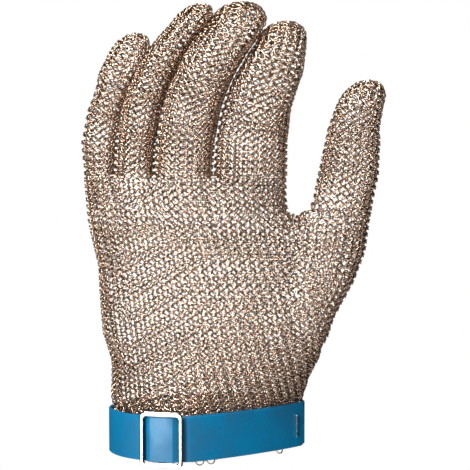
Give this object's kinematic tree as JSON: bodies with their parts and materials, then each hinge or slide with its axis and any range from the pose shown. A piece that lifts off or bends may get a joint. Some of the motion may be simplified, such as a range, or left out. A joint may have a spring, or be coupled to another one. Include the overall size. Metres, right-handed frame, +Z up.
{
  "type": "chainmail glove",
  "caption": "Ring-mail glove in its worn shape, hollow and open at the wrist, with a blue wrist strap closed by a steel slide buckle",
  "frame": {"origin": "the middle of the wrist opening, level with the hem of the mail", "axes": "+Z up from the wrist to the fingertips, +X to the thumb side, +Y away from the viewer"},
  "size_m": [0.1451, 0.0613, 0.2155],
  "materials": {
    "steel_mail": "bright ring mesh",
    "strap_blue": "smooth, satin gloss",
    "buckle_steel": "polished",
    "staple_steel": "bright wire"
  },
  "bodies": {
    "root": {"hand_mail": "steel_mail", "little_finger_mail": "steel_mail", "ring_finger_mail": "steel_mail", "middle_finger_mail": "steel_mail", "index_finger_mail": "steel_mail", "thumb_mail": "steel_mail", "wrist_strap": "strap_blue", "strap_buckle": "buckle_steel", "strap_staple": "staple_steel"}
  },
  "joints": []
}
